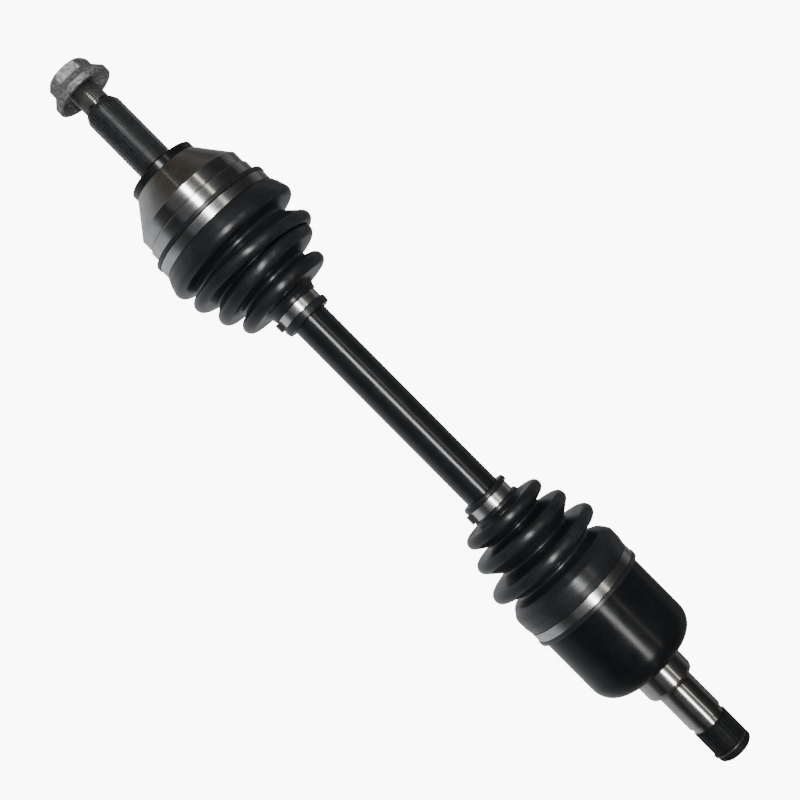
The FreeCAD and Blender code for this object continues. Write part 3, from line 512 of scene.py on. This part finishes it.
# The studio round the shaft: brightness by the direction's turn about the X axis, in degrees from
# level in front, through overhead at 90, to level behind at 180; below level it is the lit table.
ROOM = [
    (-180, 0.1), (-150, 0.3), (-120, 0.65), (-90, 0.96), (-63, 0.78), (-52, 0.68), (-42, 0.5), (-33, 0.2),
    (-24, 0.1), (-8, 0.05), (0, 0.06), (8, 0.15), (22, 0.16), (30, 0.2), (37, 0.4), (52, 0.6),
    (65, 0.25), (72, 0.3), (88, 0.14), (97, 0.08), (112, 0.05), (140, 0.05), (155, 0.2), (165, 0.28),
    (180, 0.1),
]
LAMPS = [
    (-180, 0.0), (39, 0.0), (41.5, 1.4), (43, 21.5), (50, 23.5), (52, 1.6), (55, 0.0),
    (73, 0.0), (74.5, 3.0), (77.0, 3.0), (79.5, 0.0), (180, 0.0),
]
BRIGHTEST = 25.0
DIM = (0.11 / BRIGHTEST, 0.095 / BRIGHTEST, 0.078 / BRIGHTEST, 1.0)     # past the shaft's ends
DARK = (0.0, 0.0, 0.0, 1.0)

world = bpy.data.worlds.new("studio")
world.use_nodes = True
tree = world.node_tree


def calculate(operation, a, b):
    """A Math node. A float is a constant, anything else is an output to link."""
    node = tree.nodes.new("ShaderNodeMath")
    node.operation = operation
    for socket, value in zip(node.inputs, (a, b)):
        if isinstance(value, float):
            socket.default_value = value
        else:
            tree.links.new(value, socket)
    return node.outputs["Value"]


def spread(value, low, high, at_low=0.0, at_high=1.0):
    """The value's place between low and high, told as a number between at_low and at_high."""
    node = tree.nodes.new("ShaderNodeMapRange")
    node.inputs["From Min"].default_value = low
    node.inputs["From Max"].default_value = high
    node.inputs["To Min"].default_value = at_low
    node.inputs["To Max"].default_value = at_high
    tree.links.new(value, node.inputs["Value"])
    return node.outputs["Result"]


def mixed(blend_type, factor, a, b):
    """A Mix node for colours. Floats and tuples are constants, anything else is linked."""
    node = tree.nodes.new("ShaderNodeMix")
    node.data_type = "RGBA"
    node.blend_type = blend_type
    for label, value in (("Factor", factor), ("A", a), ("B", b)):
        socket = next(s for s in node.inputs if s.name == label and s.enabled)
        if isinstance(value, (float, tuple)):
            socket.default_value = value
        else:
            tree.links.new(value, socket)
    return next(s for s in node.outputs if s.enabled)


def light_tint(degrees):
    """Warm in the overhead lamp, a little cool in front and below."""
    if 72 < degrees < 80:
        return (1.0, 0.93, 0.8)
    if degrees < 30:
        return (0.97, 1.0, 1.03)
    return (1.0, 1.0, 1.0)


def lit(table, turn_share):
    """The colour that a table of (degrees, brightness) gives at this share of a full turn."""
    node = tree.nodes.new("ShaderNodeValToRGB")
    stops = node.color_ramp.elements
    for i, (degrees, light) in enumerate(table):
        place = (degrees + 180.0) / 360.0
        if 0 < i < len(table) - 1:
            stop = stops.new(place)
        else:
            stop = stops[i]
        stop.position = place
        stop.color = (*tinted(light / BRIGHTEST, light_tint(degrees)), 1)
    tree.links.new(turn_share, node.inputs["Fac"])
    return node.outputs["Color"]


direction = tree.nodes.new("ShaderNodeTexCoord")
parts = tree.nodes.new("ShaderNodeSeparateXYZ")
tree.links.new(direction.outputs["Generated"], parts.inputs["Vector"])
frontward = calculate("MULTIPLY", parts.outputs["Y"], -1.0)
turn_share = spread(calculate("ARCTAN2", parts.outputs["Z"], frontward), -math.pi, math.pi)
endways = calculate("MULTIPLY", parts.outputs["X"], parts.outputs["X"])
room = mixed("MIX", spread(endways, 0.2, 0.95, 0.0, 0.94), lit(ROOM, turn_share), DIM)
lamps = mixed("MIX", spread(endways, 0.1, 0.4, 0.0, 0.95), lit(LAMPS, turn_share), DARK)
background = tree.nodes["Background"]
tree.links.new(mixed("ADD", 1.0, room, lamps), background.inputs["Color"])
background.inputs["Strength"].default_value = BRIGHTEST
bpy.context.scene.world = world


# ---------------------------------------------------------------- camera

MIDDLE = Vector((0.222, 0.0, 0.0))
ELEVATION = math.radians(40.0)
SLANT = math.radians(45.16)             # the shaft runs down to the right by this much in the picture
DISTANCE = 0.87
SHIFT = 0.0045                          # how far above the shaft's axis the camera aims
SENSOR_MM = 36.0
LENS_MM = 58.56

along = Vector((1.0, 0.0, 0.0))
across = Vector((0.0, -math.sin(ELEVATION), -math.cos(ELEVATION)))
toward_camera = Vector((0.0, -math.cos(ELEVATION), math.sin(ELEVATION)))
right = along * math.cos(SLANT) - across * math.sin(SLANT)
up = -along * math.sin(SLANT) - across * math.cos(SLANT)
place = MIDDLE - across * SHIFT + toward_camera * DISTANCE

camera = bpy.data.objects.new("camera", bpy.data.cameras.new("camera"))
bpy.context.scene.collection.objects.link(camera)
turned = Matrix((right, up, toward_camera)).transposed().to_4x4()
camera.matrix_world = Matrix.Translation(place) @ turned
camera.data.sensor_width = SENSOR_MM
camera.data.lens = LENS_MM
camera.data.clip_start, camera.data.clip_end = 0.02, 60.0
bpy.context.scene.camera = camera
